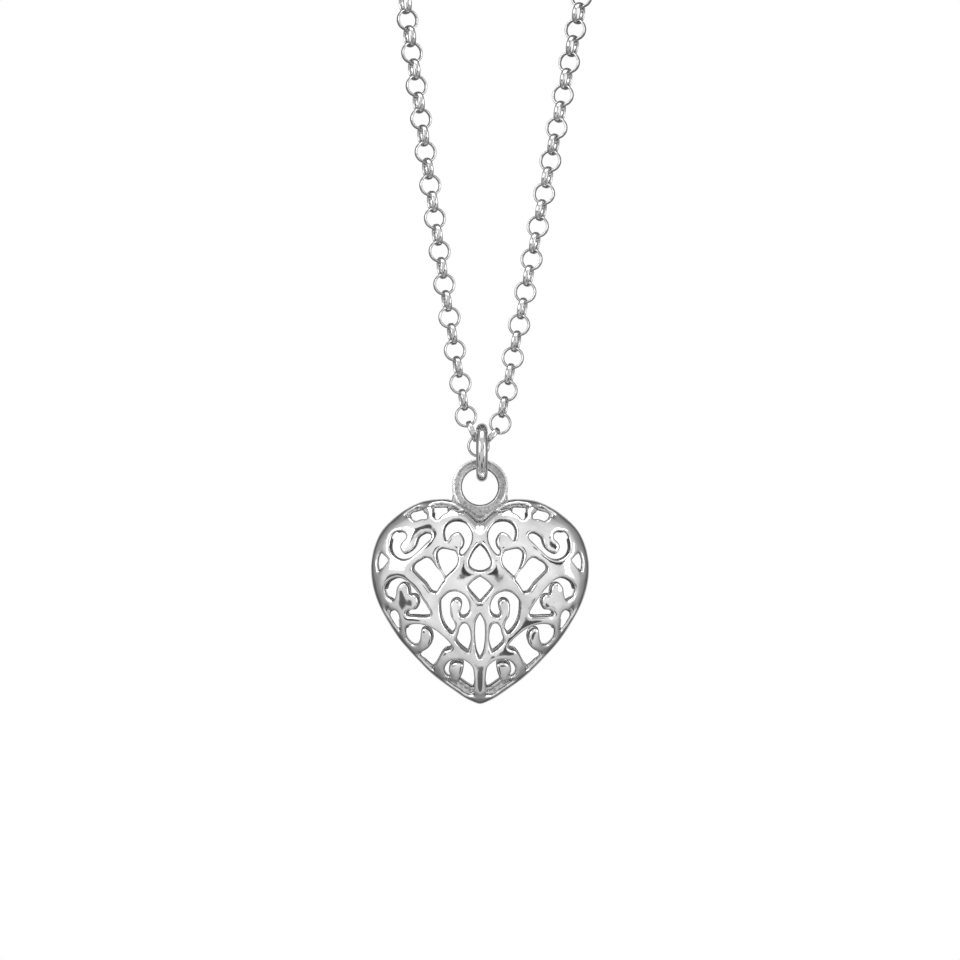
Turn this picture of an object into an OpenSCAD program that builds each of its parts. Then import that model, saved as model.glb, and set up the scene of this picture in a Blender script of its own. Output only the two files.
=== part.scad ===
/* [Heart] */
// Half the depth of the puffed heart
heart_half_depth = 4.0; // [3.4:0.1:4.6]
// Wall of the cast shells
wall = 0.75; // [0.6:0.05:0.9]
/* [Hanging loop and jump ring] */
// Outer radius of the cast loop
loop_ro = 2.8; // [2.7:0.05:2.9]
// Inner radius of the cast loop
loop_ri = 1.8; // [1.75:0.05:1.85]
// Depth of the cast loop, front to back
loop_depth = 1.6; // [1.2:0.1:1.8]
// Wire diameter of the jump ring
ring_wire = 1.16; // [1.1:0.02:1.18]
// Outer diameter of the jump ring
ring_od = 5.88; // [5.86:0.01:5.9]
/* [Chain] */
// Outer diameter of one chain link
link_od = 2.26; // [2.24:0.01:2.28]
// Width of the flat link wire, along the link's axis
link_width = 0.58; // [0.5:0.02:0.6]
// Thickness of the link wire, along its radius
link_thick = 0.27; // [0.24:0.01:0.28]
/* [Clasp] */
// Centreline radius of the spring ring
clasp_r = 2.2; // [2.1:0.05:2.3]
// Outside diameter of the spring ring's tube
clasp_tube = 1.2; // [1.1:0.05:1.25]

/* [Hidden] */
$fn = 48;

// The frame: the origin is the axis of the round peg that the chain hangs over.
// X runs to the right, Y to the back and Z up. The heart faces -Y.
heart_x = -1.34;            // the heart's line of symmetry
heart_z = -63.0;            // the heart's middle height
arch_r = 9.18;              // chain centreline over the peg
pitch = 1.67;               // from link to link along a taut strand
arch_pitch = 1.65;          // the same over the peg

// ---- smooth closed curves through points chosen by hand ----
function cr(a, b, c, d, t) = 0.5 * ((2 * b) + (c - a) * t + (2 * a - 5 * b + 4 * c - d) * t * t
                             + (3 * b - a - 3 * c + d) * t * t * t);
function smooth(p, k) = [for (i = [0:len(p) - 1]) for (j = [0:k - 1])
    let (n = len(p)) cr(p[(i + n - 1) % n], p[i], p[(i + 1) % n], p[(i + 2) % n], j / k)];
function flip(p) = [for (i = [len(p) - 1:-1:0]) [-p[i][0], p[i][1]]];

// ---- the heart's outline, right half from the tip to the notch ----
half_out = [[0, -10.4], [0.9, -10.1], [2.9, -8.85], [4.75, -7.45], [6.4, -5.8], [8, -4],
            [9.1, -2.35], [10.1, -0.5], [10.7, 1.3], [10.9, 3.3], [10.6, 5.2], [9.9, 6.8],
            [8.6, 8.2], [7.2, 9.2], [5.6, 9.9], [4.2, 10.1], [3, 10.05], [2.1, 9.7],
            [1.4, 9.3], [0.7, 8.8], [0, 8.35]];
outline = concat(half_out, [for (i = [len(half_out) - 2:-1:1]) [-half_out[i][0], half_out[i][1]]]);
rim = smooth(outline, 2);
fine_rim = smooth(outline, 4);

// ---- the pierced pattern, right half ----
holes = [
    // two small eyes under the top edge
    [[4.65, 9.2], [3.3, 9.25], [3.15, 8.95], [3.9, 8.5], [4.3, 8.05], [4.6, 8.35]],
    [[6.95, 8.35], [6.85, 8.6], [6.2, 8.85], [5.65, 9], [5.35, 8.7], [5.35, 8.2], [6.1, 8.15],
     [6.5, 8], [6.7, 8.1]],
    // upper outer scroll
    [[8.2, 7], [8.7, 6.8], [9, 6.2], [9.1, 5.5], [8.9, 4.8], [8.4, 4.3], [7.7, 4.1], [7, 4.3],
     [6.3, 4.9], [5.5, 5.7], [4.9, 6.35], [4.85, 6.65], [5.3, 6.85], [5.9, 6.6], [6.2, 6.3],
     [6.4, 5.7], [6.6, 5.3], [7.2, 4.85], [7.65, 4.7], [7.9, 5], [8.05, 5.4], [7.8, 5.9],
     [7.45, 6.25], [7.45, 6.65], [7.8, 6.95]],
    // upper inner scroll
    [[3.4, 5.9], [3.55, 6.4], [3.6, 7], [3.4, 7.6], [2.9, 8.05], [2.3, 8.2], [1.7, 8.15],
     [1.1, 7.6], [0.75, 6.9], [0.75, 6.3], [1, 5.5], [1.4, 4.9], [1.8, 4.5], [2.05, 4.7],
     [2, 5.1], [1.7, 5.5], [1.6, 6], [1.75, 6.5], [2.05, 6.85], [2.5, 6.8], [2.95, 6.5],
     [3.2, 6.1]],
    // shield
    [[4.25, 4.9], [4.1, 5.1], [2.5, 5.05], [2.2, 4.4], [2.25, 3.8], [3.3, 2.5], [3.5, 2.3],
     [3.9, 3], [4.2, 3.8]],
    // slanted window
    [[6.75, 3.2], [6.6, 3.6], [6, 4.05], [5.3, 4.35], [5, 4.2], [4.4, 3.45], [3.9, 2.9],
     [3.5, 2.1], [3.9, 1.6], [4.4, 0.8], [4.7, 0.85], [5.5, 1.8], [6.3, 2.6]],
    // side notch
    [[10, 4.85], [9.2, 4.05], [10.2, 2.8], [10.35, 3.6], [10.2, 4.5]],
    // middle scroll with two lobes
    [[8.7, -0.05], [9.2, 0.2], [9.55, 0.8], [9.55, 1.4], [9.25, 1.85], [8.8, 2.15], [8.3, 2.3],
     [7.7, 2.15], [7.2, 1.8], [6.5, 1.1], [5.9, 0.3], [5.3, -0.6], [5, -1.2], [5.1, -1.55],
     [5.8, -1.6], [6.7, -1.55], [7.4, -1.55], [7.45, -1.25], [7.1, -0.95], [6.6, -0.9],
     [6.25, -0.5], [6.2, 0.1], [6.45, 0.55], [7.1, 0.6], [7.15, 1.2], [7.25, 1.5], [7.7, 1.8],
     [8.1, 1.65], [8.35, 1.3], [8.45, 0.6]],
    // leaf at the side
    [[8.9, -1.2], [8.6, -1], [8.35, -1.2], [8.1, -2.4], [8, -3], [8.2, -3.1], [8.6, -2.2],
     [8.95, -1.6]],
    // lower outer scroll
    [[7.55, -3.2], [7.4, -2.7], [6.9, -2.45], [6, -2.4], [5.2, -2.6], [4.5, -2.95], [3.9, -3.4],
     [3.3, -3.95], [2.8, -4.55], [3, -4.8], [3.6, -5], [4, -5.45], [4.3, -6], [4.6, -6.5],
     [4.9, -6.3], [5.4, -5.85], [5.9, -5.45], [5.95, -5.25], [5.5, -5], [5.1, -4.6], [4.85, -4],
     [4.9, -3.4], [5.2, -2.9], [5.6, -2.75], [5.95, -2.9], [6, -3.4], [6.1, -4], [6.35, -4.5],
     [6.7, -4.5], [7.2, -4.15], [7.45, -3.8]],
    // bottom scroll
    [[3.6, -6.8], [3.4, -6.4], [3, -6.05], [2.4, -5.9], [1.7, -5.95], [1.1, -6.3], [0.75, -6.75],
     [0.65, -7.4], [0.6, -8.2], [0.7, -9], [1.1, -8.8], [1.7, -8.4], [2.2, -8.05], [1.95, -7.6],
     [1.75, -7], [1.65, -6.45], [1.9, -6.25], [2.5, -6.2], [2.95, -6.4], [3.2, -6.8],
     [3.15, -7.25], [2.95, -7.5], [3.2, -7.7], [3.5, -7.45], [3.65, -7.1]],
    // middle inner scroll
    [[4, -0.7], [3.95, 0], [3.6, 0.5], [3, 0.9], [2.3, 0.95], [1.7, 0.7], [1.25, 0.2],
     [1.05, -0.5], [1.1, -1.1], [1.4, -1.5], [1.85, -1.65], [2.05, -1.3], [1.9, -0.8],
     [1.85, -0.2], [2.1, 0.15], [2.6, 0.15], [2.95, -0.2], [3, -0.9], [2.9, -1.6], [2.6, -2.1],
     [2.5, -2.7], [2.65, -3.1], [2.85, -3.35], [3.3, -2.9], [3.8, -2]],
    // inner leaf
    [[2.4, -4], [2.2, -3.3], [2, -2.6], [1.7, -2.25], [1.4, -2.25], [1.1, -2.7], [0.95, -3.5],
     [1, -4.4], [1.25, -5.2], [1.5, -5], [2, -4.6]]];
// openings on the line of symmetry
teardrop = [[0, 5.8], [0.5, 5.25], [0.9, 4.5], [1.1, 3.9], [1, 3.4], [0.5, 3.05], [0, 2.95],
            [-0.5, 3.05], [-1, 3.4], [-1.1, 3.9], [-0.9, 4.5], [-0.5, 5.25]];
kite = [[0, 2.5], [0.7, 2], [1.25, 1.4], [0.9, 0.9], [0.4, 0.35], [0, -0.1], [-0.4, 0.35],
        [-0.9, 0.9], [-1.25, 1.4], [-0.7, 2]];
lens = [[0, -1.25], [0.4, -2], [0.5, -3], [0.45, -4.5], [0.3, -5.3], [0, -5.9], [-0.3, -5.3],
        [-0.45, -4.5], [-0.5, -3], [-0.4, -2]];

// pockets that open from the face side only and leave a ledge on the rim flange, right half
ledges = [
    [[4.6, 9.1], [4.65, 9.6], [4.2, 9.7], [3.2, 9.65], [2.5, 9.45], [1.85, 9.1], [2.1, 9],
     [2.7, 9.15], [3.4, 9.1]],
    [[5.6, 8.8], [5.75, 9.3], [6.1, 9.4], [6.8, 9.05], [7.4, 8.65], [7.25, 8.4], [6.8, 8.4],
     [6.2, 8.7]],
    [[8.7, -1.1], [9.35, -0.7], [9.5, -0.95], [9, -1.8], [8.3, -2.95], [8.1, -2.85], [8.45, -2.1],
     [8.75, -1.5]],
    [[4.62, -6.35], [4.75, -6.95], [6.25, -5.45], [6.1, -5.2], [5.75, -5.4], [5.2, -5.85]],
    [[0.75, -8.7], [0.68, -9.5], [1.1, -9.5], [2.2, -8.85], [3.3, -8.1], [3.25, -7.8], [2.4, -8.2],
     [1.95, -7.95], [1.2, -8.5]]];

module pattern() {
    for (h = holes) {
        polygon(h);
        polygon(flip(h));
    }
    polygon(teardrop);
    polygon(kite);
    polygon(lens);
}

// ---- the puffed form: rings of the outline drawn in toward one centre ----
puff_c = [0, 0.5];
flange = 1.05;       // width of the flat flange that the halves are soldered along
rings = [1, 0.97, 0.91, 0.83, 0.72, 0.58, 0.41, 0.2];
function lift(s) = sqrt(1 - pow(s, 2.3));
function inner_pt(p, t) = let (d = norm(p - puff_c)) puff_c + (p - puff_c) * (d - t) / d;
module puff(t) {
    n = len(rim);
    h = heart_half_depth - t;
    // every other ring is half a step round, so that no four points lie in one plane
    pts = concat([for (k = [0:len(rings) - 1]) for (i = [0:n - 1])
                     let (q = inner_pt(fine_rim[2 * i + k % 2], t), r = puff_c + (q - puff_c) * rings[k])
                         [r[0], r[1], h * lift(rings[k])]],
                 [[puff_c[0], puff_c[1], h]], [[puff_c[0], puff_c[1], 0]]);
    m = len(rings);
    polyhedron(points = pts, faces = concat(
        [for (k = [0:m - 2]) for (i = [0:n - 1])
            [k * n + i, (k + 1) * n + i, k % 2 == 0 ? k * n + (i + 1) % n : (k + 1) * n + (i + 1) % n]],
        [for (k = [0:m - 2]) for (i = [0:n - 1])
            [k % 2 == 0 ? (k + 1) * n + i : k * n + i, (k + 1) * n + (i + 1) % n, k * n + (i + 1) % n]],
        [for (i = [0:n - 1]) [(m - 1) * n + i, m * n, (m - 1) * n + (i + 1) % n]],
        [for (i = [0:n - 1]) [i, (i + 1) % n, m * n + 1]]));
}
// one cast half, built face up
flange_top = 0.55;
module half_shell() {
    resize([0, 0, 0]) difference() {
        puff(0);
        difference() {
            translate([0, 0, -0.01]) puff(wall);
            // the soldering flange round the inside of the rim
            translate([0, 0, -1]) linear_extrude(1 + flange_top) difference() {
                polygon(rim);
                offset(delta = -flange) polygon(rim);
            }
        }
        translate([0, 0, -1]) linear_extrude(heart_half_depth + 2) pattern();
        translate([0, 0, flange_top]) linear_extrude(heart_half_depth) for (h = ledges) {
            polygon(h);
            polygon(flip(h));
        }
    }
}
module at_heart() translate([heart_x, 0, heart_z]) children();

module front_shell() color("silver") at_heart() rotate([90, 0, 0]) half_shell();
module back_shell() color("silver") at_heart() mirror([0, 1, 0]) rotate([90, 0, 0]) half_shell();

// ---- the cast loop, with raised edges round a grainy band, and its web in the notch ----
loop_v = 11.32;      // loop's centre above the heart's middle
module hanging_loop() color("darkgray") at_heart() {
    d = loop_depth / 2;
    difference() {
        union() {
            translate([0, 0, loop_v]) rotate([90, 0, 0]) rotate_extrude($fn = 72)
                polygon([[loop_ri, 0.34 - d], [loop_ri + 0.14, -d], [loop_ri + 0.2, -d], [loop_ri + 0.28, 0.12 - d],
                         [loop_ro - 0.28, 0.12 - d], [loop_ro - 0.2, -d], [loop_ro, -d],
                         [loop_ro, d], [loop_ro - 0.2, d], [loop_ro - 0.28, d - 0.12],
                         [loop_ri + 0.28, d - 0.12], [loop_ri + 0.2, d], [loop_ri + 0.14, d],
                         [loop_ri, d - 0.34]]);
            rotate([90, 0, 0]) translate([0, 0, 0.12 - d]) linear_extrude(loop_depth - 0.24)
                difference() {
                    polygon([[-2.7, 10.9], [-2.75, 9.6], [0, 6.9], [2.75, 9.6], [2.7, 10.9]]);
                    polygon(rim);
                    translate([0, loop_v]) circle(loop_ri + 0.1);
                }
        }
        rotate([90, 0, 0]) translate([0, 0, -3]) linear_extrude(6) polygon(rim);
    }
}

// ---- the heavy jump ring, across the loop ----
ring_x = -1.15;
ring_z = -48.24;
module jump_ring() color("silver") translate([ring_x, 0, ring_z]) rotate([0, 90, 0])
    rotate_extrude($fn = 72) translate([ring_od / 2 - ring_wire / 2, 0]) circle(d = ring_wire, $fn = 32);

// ---- chain links ----
// a link of flat wire, its axis along Z
module link() rotate_extrude()
    translate([link_od / 2 - link_thick / 2, 0]) let (a = link_thick / 2, b = link_width / 2)
        polygon([[a * 0.45, b], [a, b * 0.5], [a, -b * 0.5], [a * 0.45, -b],
                 [-a * 0.45, -b], [-a, -b * 0.5], [-a, b * 0.5], [-a * 0.45, b]]);
// a link in the chain at p = [x, z], the chain running at angle a from X, the link turned by w
module put_link(p, a, w) translate([p[0], 0, p[1]]) rotate([0, -a, 0]) rotate([w, 0, 0])
    rotate([90, 0, 0]) link();

// strands, each from the lowest whole link up to the peg
left_low = [-2.75, -44.63];
left_bends = [[-4.69, -33], [-6.82, -18], [-9.1, -1.24]];
right_low = [0.69, -45.34];
right_top = [9.01, -1.72];
function left_path() = concat([left_low], left_bends);
function right_path() = [right_low, right_top];
function along(p, s, i = 0) = let (d = norm(p[i + 1] - p[i]))
    (s <= d || i == len(p) - 2) ? [p[i] + (p[i + 1] - p[i]) * s / d, p[i + 1] - p[i]]
                                : along(p, s - d, i + 1);
function angle_of(v) = atan2(v[1], v[0]);
// the turn of the strand about its own line: more at the top than at the hub
function turn(i) = 8 + i * 0.6;
module strand(p, from, to, hand) for (i = [from:to]) {
    q = along(p, i * pitch);
    put_link(q[0], angle_of(q[1]), hand * turn(i) + (i % 2 == 0 ? 0 : 90));
}
// chain over the peg: link i of a strand, at its angle round the peg
function arch_angle(start, hand, k) = start + hand * k * 2 * asin(arch_pitch / 2 / arch_r);
module arch(start, hand, from, to, first) for (k = [from:to]) {
    a = arch_angle(start, hand, k);
    put_link([arch_r * cos(a), arch_r * sin(a)], a + hand * 90, -hand * turn(26) + ((first + k) % 2 == 0 ? 0 : 90));
}

centre = [-1.49, -47.62];
module centre_link() color("silver") put_link(centre, 0, 0);
module left_hub_link() color("silver")
    put_link((centre + left_low) / 2, angle_of(left_low - centre), 90);
module right_hub_link() color("silver")
    put_link([-0.22, -46.66], angle_of(right_low - centre), 90);
module left_chain_lower() color("silver") strand(left_path(), 0, 8, 1);
module right_chain_lower() color("silver") strand(right_path(), 0, 8, -1);
module left_chain_middle() color("silver") strand(left_path(), 9, 17, 1);
module right_chain_middle() color("silver") strand(right_path(), 9, 17, -1);
module left_chain_upper() color("silver") strand(left_path(), 18, 25, 1);
module right_chain_upper() color("silver") strand(right_path(), 18, 25, -1);
// the last links lie over the peg
left_a0 = 180.2;
right_a0 = -6.7;
module left_chain_end() color("silver") {
    strand(left_path(), 26, 26, 1);
    arch(left_a0, -1, 0, 5, 27);
}
module right_chain_end() color("silver") {
    strand(right_path(), 26, 26, -1);
    arch(right_a0, 1, 0, 6, 27);
}

// ---- end rings and the spring ring clasp, lying flat on top of the peg ----
module wire_ring(r, w) rotate_extrude() translate([r, 0]) circle(d = w, $fn = 20);
clasp_z = 9.0;
clasp_x = 0.22;
module left_end_ring() color("silver") translate([-4.345, 0, 8.204]) rotate([0, -36.8, 0]) wire_ring(1.2, 0.5);
module right_end_ring() color("silver") translate([3.16, 0, 8.62]) rotate([90, 0, 0]) wire_ring(1.8, 0.6);

// the tube runs from one lip of its mouth to the other
mouth_a = -35;      // mouth from -35 to +10 degrees, to the right and the front
mouth_b = 10;
bore = 0.8;
slot_a = 21;        // slot that the trigger runs in
slot_b = 86;
module clasp_body() color("silver") translate([clasp_x, 0, clasp_z]) difference() {
    rotate([0, 0, mouth_b]) rotate_extrude(angle = 360 - (mouth_b - mouth_a), $fn = 72)
        translate([clasp_r, 0]) circle(d = clasp_tube, $fn = 32);
    rotate([0, 0, mouth_b - 1]) rotate_extrude(angle = 170, $fn = 72)
        translate([clasp_r, 0]) circle(d = bore, $fn = 24);
    rotate([0, 0, mouth_a - 14]) rotate_extrude(angle = 15, $fn = 72)
        translate([clasp_r, 0]) circle(d = bore, $fn = 24);
    rotate([0, 0, slot_a]) rotate_extrude(angle = slot_b - slot_a, $fn = 72)
        translate([clasp_r, -0.18]) square([1.2, 0.36]);
}
// the bolt, closed: its nose in the far lip, its trigger at the near end of the slot
module clasp_bolt() color("silver") translate([clasp_x, 0, clasp_z]) {
    rotate([0, 0, mouth_a - 8]) rotate_extrude(angle = 88, $fn = 72)
        translate([clasp_r, 0]) circle(d = 0.66, $fn = 24);
    rotate([0, 0, 26]) translate([clasp_r, 0, 0]) rotate([0, 90, 0]) cylinder(d = 0.3, h = 1.1, $fn = 20);
    rotate([0, 0, 26]) translate([3.3, 0, 0]) sphere(d = 0.6, $fn = 20);
}
// the coil spring behind the bolt, wound round the bore's centreline
sp_from = 46;
sp_to = 177;
sp_turns = 14;
function sp_pt(t) = let (a = sp_from + (sp_to - sp_from) * t, b = 360 * sp_turns * t, r = clasp_r + 0.26 * cos(b))
    [r * cos(a), r * sin(a), 0.26 * sin(b)];
module clasp_spring() color("gray") translate([clasp_x, 0, clasp_z]) {
    n = sp_turns * 10;
    w = 0.06;
    pts = [for (i = [0:n]) let (t = i / n, p = sp_pt(t), q = sp_pt(t + 0.001) - p, u = q / norm(q),
               a = sp_from + (sp_to - sp_from) * t, e = [cos(a), sin(a), 0],
               x = cross(u, e) / norm(cross(u, e)), y = cross(u, x)) for (k = [0:3])
               p + w * (cos(k * 90) * x + sin(k * 90) * y)];
    polyhedron(points = pts, faces = concat([[3, 2, 1, 0]], [[n * 4, n * 4 + 1, n * 4 + 2, n * 4 + 3]],
        [for (i = [0:n - 1]) for (k = [0:3]) [i * 4 + k, i * 4 + (k + 1) % 4, (i + 1) * 4 + (k + 1) % 4, (i + 1) * 4 + k]]));
}
module clasp_eye() color("silver") translate([clasp_x - 3.5, 0, clasp_z]) difference() {
    rotate([90, 0, 0]) difference() {
        cylinder(r = 0.85, h = 0.6, center = true);
        cylinder(r = 0.42, h = 1, center = true);
    }
    translate([3.5, 0, 0]) rotate_extrude($fn = 72) translate([clasp_r, 0]) circle(d = clasp_tube + 0.002, $fn = 32);
}

front_shell();
back_shell();
hanging_loop();
jump_ring();
centre_link();
left_hub_link();
right_hub_link();
left_chain_lower();
right_chain_lower();
left_chain_middle();
right_chain_middle();
left_chain_upper();
right_chain_upper();
left_chain_end();
right_chain_end();
left_end_ring();
right_end_ring();
clasp_body();
clasp_eye();
clasp_bolt();
clasp_spring();
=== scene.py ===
"""Looks for the openwork heart pendant on a rolo chain. Lengths here are in mm and become metres on the way in."""

import math

import bpy
import numpy as np
from mathutils import Matrix, Vector, noise
from mathutils.geometry import delaunay_2d_cdt
from mathutils.kdtree import KDTree


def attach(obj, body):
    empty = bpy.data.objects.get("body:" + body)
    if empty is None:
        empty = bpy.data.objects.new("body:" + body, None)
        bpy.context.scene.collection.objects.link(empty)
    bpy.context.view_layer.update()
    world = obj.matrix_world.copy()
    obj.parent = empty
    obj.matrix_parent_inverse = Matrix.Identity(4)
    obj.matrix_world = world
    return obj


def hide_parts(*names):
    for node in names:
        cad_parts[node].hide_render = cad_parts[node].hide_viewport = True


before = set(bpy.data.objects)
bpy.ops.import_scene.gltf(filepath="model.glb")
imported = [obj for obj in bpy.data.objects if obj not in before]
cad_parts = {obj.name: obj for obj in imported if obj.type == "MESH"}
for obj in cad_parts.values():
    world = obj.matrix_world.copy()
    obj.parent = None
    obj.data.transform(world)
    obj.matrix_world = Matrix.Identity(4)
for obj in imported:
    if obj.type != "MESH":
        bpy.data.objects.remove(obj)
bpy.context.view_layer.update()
scene = bpy.context.scene
MM = 0.001

# ------------------------------------------------------------------ sizes, the same as the CAD's
HEART_X, HEART_Z = -1.34, -63.0
HALF_DEPTH, WALL = 4.0, 0.75
PUFF_C = np.array([0.0, 0.5])
LOOP_RO, LOOP_RI, LOOP_DEPTH, LOOP_V = 2.8, 1.8, 1.6, 11.32
RING_X, RING_Z, RING_OD, RING_WIRE = -1.15, -48.24, 5.88, 1.16
LINK_OD, LINK_W, LINK_T = 2.26, 0.58, 0.27
ARCH_R, PITCH, ARCH_PITCH = 9.18, 1.67, 1.65
CLASP_X, CLASP_Z, CLASP_R, CLASP_TUBE = 0.22, 9.0, 2.2, 1.2

half_out = [(0, -10.4), (0.9, -10.1), (2.9, -8.85), (4.75, -7.45), (6.4, -5.8), (8, -4),
            (9.1, -2.35), (10.1, -0.5), (10.7, 1.3), (10.9, 3.3), (10.6, 5.2), (9.9, 6.8),
            (8.6, 8.2), (7.2, 9.2), (5.6, 9.9), (4.2, 10.1), (3, 10.05), (2.1, 9.7),
            (1.4, 9.3), (0.7, 8.8), (0, 8.35)]
outline = half_out + [(-x, y) for x, y in reversed(half_out[1:-1])]

half_holes = [
    # two small eyes under the top edge
    [(4.65, 9.2), (3.3, 9.25), (3.15, 8.95), (3.9, 8.5), (4.3, 8.05), (4.6, 8.35)],
    [(6.95, 8.35), (6.85, 8.6), (6.2, 8.85), (5.65, 9), (5.35, 8.7), (5.35, 8.2), (6.1, 8.15),
     (6.5, 8), (6.7, 8.1)],
    # upper outer scroll
    [(8.2, 7), (8.7, 6.8), (9, 6.2), (9.1, 5.5), (8.9, 4.8), (8.4, 4.3), (7.7, 4.1), (7, 4.3),
     (6.3, 4.9), (5.5, 5.7), (4.9, 6.35), (4.85, 6.65), (5.3, 6.85), (5.9, 6.6), (6.2, 6.3),
     (6.4, 5.7), (6.6, 5.3), (7.2, 4.85), (7.65, 4.7), (7.9, 5), (8.05, 5.4), (7.8, 5.9),
     (7.45, 6.25), (7.45, 6.65), (7.8, 6.95)],
    # upper inner scroll
    [(3.4, 5.9), (3.55, 6.4), (3.6, 7), (3.4, 7.6), (2.9, 8.05), (2.3, 8.2), (1.7, 8.15),
     (1.1, 7.6), (0.75, 6.9), (0.75, 6.3), (1, 5.5), (1.4, 4.9), (1.8, 4.5), (2.05, 4.7),
     (2, 5.1), (1.7, 5.5), (1.6, 6), (1.75, 6.5), (2.05, 6.85), (2.5, 6.8), (2.95, 6.5),
     (3.2, 6.1)],
    # shield
    [(4.25, 4.9), (4.1, 5.1), (2.5, 5.05), (2.2, 4.4), (2.25, 3.8), (3.3, 2.5), (3.5, 2.3),
     (3.9, 3), (4.2, 3.8)],
    # slanted window
    [(6.75, 3.2), (6.6, 3.6), (6, 4.05), (5.3, 4.35), (5, 4.2), (4.4, 3.45), (3.9, 2.9),
     (3.5, 2.1), (3.9, 1.6), (4.4, 0.8), (4.7, 0.85), (5.5, 1.8), (6.3, 2.6)],
    # side notch
    [(10, 4.85), (9.2, 4.05), (10.2, 2.8), (10.35, 3.6), (10.2, 4.5)],
    # middle scroll with two lobes
    [(8.7, -0.05), (9.2, 0.2), (9.55, 0.8), (9.55, 1.4), (9.25, 1.85), (8.8, 2.15), (8.3, 2.3),
     (7.7, 2.15), (7.2, 1.8), (6.5, 1.1), (5.9, 0.3), (5.3, -0.6), (5, -1.2), (5.1, -1.55),
     (5.8, -1.6), (6.7, -1.55), (7.4, -1.55), (7.45, -1.25), (7.1, -0.95), (6.6, -0.9),
     (6.25, -0.5), (6.2, 0.1), (6.45, 0.55), (7.1, 0.6), (7.15, 1.2), (7.25, 1.5), (7.7, 1.8),
     (8.1, 1.65), (8.35, 1.3), (8.45, 0.6)],
    # leaf at the side
    [(8.9, -1.2), (8.6, -1), (8.35, -1.2), (8.1, -2.4), (8, -3), (8.2, -3.1), (8.6, -2.2),
     (8.95, -1.6)],
    # lower outer scroll
    [(7.55, -3.2), (7.4, -2.7), (6.9, -2.45), (6, -2.4), (5.2, -2.6), (4.5, -2.95), (3.9, -3.4),
     (3.3, -3.95), (2.8, -4.55), (3, -4.8), (3.6, -5), (4, -5.45), (4.3, -6), (4.6, -6.5),
     (4.9, -6.3), (5.4, -5.85), (5.9, -5.45), (5.95, -5.25), (5.5, -5), (5.1, -4.6), (4.85, -4),
     (4.9, -3.4), (5.2, -2.9), (5.6, -2.75), (5.95, -2.9), (6, -3.4), (6.1, -4), (6.35, -4.5),
     (6.7, -4.5), (7.2, -4.15), (7.45, -3.8)],
    # bottom scroll
    [(3.6, -6.8), (3.4, -6.4), (3, -6.05), (2.4, -5.9), (1.7, -5.95), (1.1, -6.3), (0.75, -6.75),
     (0.65, -7.4), (0.6, -8.2), (0.7, -9), (1.1, -8.8), (1.7, -8.4), (2.2, -8.05), (1.95, -7.6),
     (1.75, -7), (1.65, -6.45), (1.9, -6.25), (2.5, -6.2), (2.95, -6.4), (3.2, -6.8),
     (3.15, -7.25), (2.95, -7.5), (3.2, -7.7), (3.5, -7.45), (3.65, -7.1)],
    # middle inner scroll
    [(4, -0.7), (3.95, 0), (3.6, 0.5), (3, 0.9), (2.3, 0.95), (1.7, 0.7), (1.25, 0.2),
     (1.05, -0.5), (1.1, -1.1), (1.4, -1.5), (1.85, -1.65), (2.05, -1.3), (1.9, -0.8),
     (1.85, -0.2), (2.1, 0.15), (2.6, 0.15), (2.95, -0.2), (3, -0.9), (2.9, -1.6), (2.6, -2.1),
     (2.5, -2.7), (2.65, -3.1), (2.85, -3.35), (3.3, -2.9), (3.8, -2)],
    # inner leaf
    [(2.4, -4), (2.2, -3.3), (2, -2.6), (1.7, -2.25), (1.4, -2.25), (1.1, -2.7), (0.95, -3.5),
     (1, -4.4), (1.25, -5.2), (1.5, -5), (2, -4.6)],
]
# pockets open from the face side only, which leave a ledge on the rim flange
half_ledges = [
    [(4.6, 9.1), (4.65, 9.6), (4.2, 9.7), (3.2, 9.65), (2.5, 9.45), (1.85, 9.1), (2.1, 9),
     (2.7, 9.15), (3.4, 9.1)],
    [(5.6, 8.8), (5.75, 9.3), (6.1, 9.4), (6.8, 9.05), (7.4, 8.65), (7.25, 8.4), (6.8, 8.4),
     (6.2, 8.7)],
    [(8.7, -1.1), (9.35, -0.7), (9.5, -0.95), (9, -1.8), (8.3, -2.95), (8.1, -2.85), (8.45, -2.1),
     (8.75, -1.5)],
    [(4.62, -6.35), (4.75, -6.95), (6.25, -5.45), (6.1, -5.2), (5.75, -5.4), (5.2, -5.85)],
    [(0.75, -8.7), (0.68, -9.5), (1.1, -9.5), (2.2, -8.85), (3.3, -8.1), (3.25, -7.8), (2.4, -8.2),
     (1.95, -7.95), (1.2, -8.5)]]
LEDGE_TOP, FLANGE = 0.55, 1.05
teardrop = [(0, 5.8), (0.5, 5.25), (0.9, 4.5), (1.1, 3.9), (1, 3.4), (0.5, 3.05), (0, 2.95),
            (-0.5, 3.05), (-1, 3.4), (-1.1, 3.9), (-0.9, 4.5), (-0.5, 5.25)]
kite = [(0, 2.5), (0.7, 2), (1.25, 1.4), (0.9, 0.9), (0.4, 0.35), (0, -0.1), (-0.4, 0.35),
        (-0.9, 0.9), (-1.25, 1.4), (-0.7, 2)]
lens = [(0, -1.25), (0.4, -2), (0.5, -3), (0.45, -4.5), (0.3, -5.3), (0, -5.9), (-0.3, -5.3),
        (-0.45, -4.5), (-0.5, -3), (-0.4, -2)]


# ------------------------------------------------------------------ curves and flat regions
def resample(p, step):
    """Closed line at even spacing."""
    q = np.vstack([p, p[:1]])
    s = np.concatenate([[0], np.cumsum(np.linalg.norm(np.diff(q, axis=0), axis=1))])
    n = max(8, int(round(s[-1] / step)))
    t = np.linspace(0, s[-1], n, endpoint=False)
    return np.stack([np.interp(t, s, q[:, 0]), np.interp(t, s, q[:, 1])], axis=1)


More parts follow.
